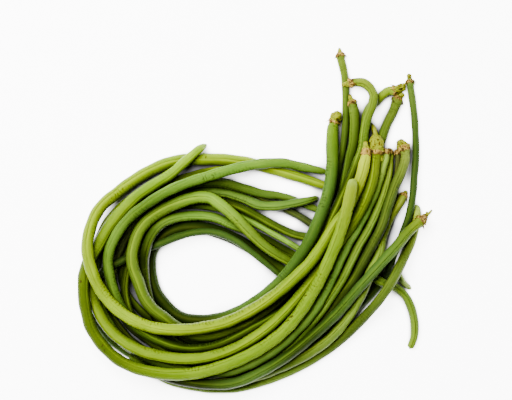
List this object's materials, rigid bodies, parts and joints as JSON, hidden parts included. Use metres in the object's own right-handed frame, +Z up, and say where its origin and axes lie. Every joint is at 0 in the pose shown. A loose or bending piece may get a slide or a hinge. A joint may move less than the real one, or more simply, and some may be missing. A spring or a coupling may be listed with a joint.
{
  "type": "yardlong bean bunch",
  "caption": "Bunch of fresh yardlong beans curled round into a loose ring, stem ends together, lying flat on a table.",
  "frame": {"origin": "middle of the bunch's plan, on the surface that it lies on", "axes": "+Z up; +Y towards the stem ends, which are at +X +Y; the ring is at -X"},
  "size_m": [0.2484, 0.2428, 0.0372],
  "materials": {
    "skin_pale": "pale yellow-green bean skin, soft sheen, fine lengthwise fibres and sutures",
    "skin_bright": "bright green bean skin, soft sheen, raised sutures",
    "skin_leaf": "mid-green bean skin, soft sheen",
    "skin_olive": "olive-green bean skin, soft sheen",
    "skin_deep": "dark green bean skin, soft sheen"
  },
  "bodies": {
    "root": {"pod_01": "skin_pale", "pod_02": "skin_pale", "pod_03": "skin_leaf", "pod_04": "skin_deep", "pod_05": "skin_leaf", "pod_06": "skin_bright", "pod_07": "skin_deep", "pod_08": "skin_deep", "pod_09": "skin_leaf", "pod_10": "skin_bright", "pod_11": "skin_leaf", "pod_12": "skin_bright", "pod_13": "skin_olive", "pod_14": "skin_olive", "pod_15": "skin_olive", "pod_16": "skin_leaf", "pod_17": "skin_olive"}
  },
  "joints": []
}
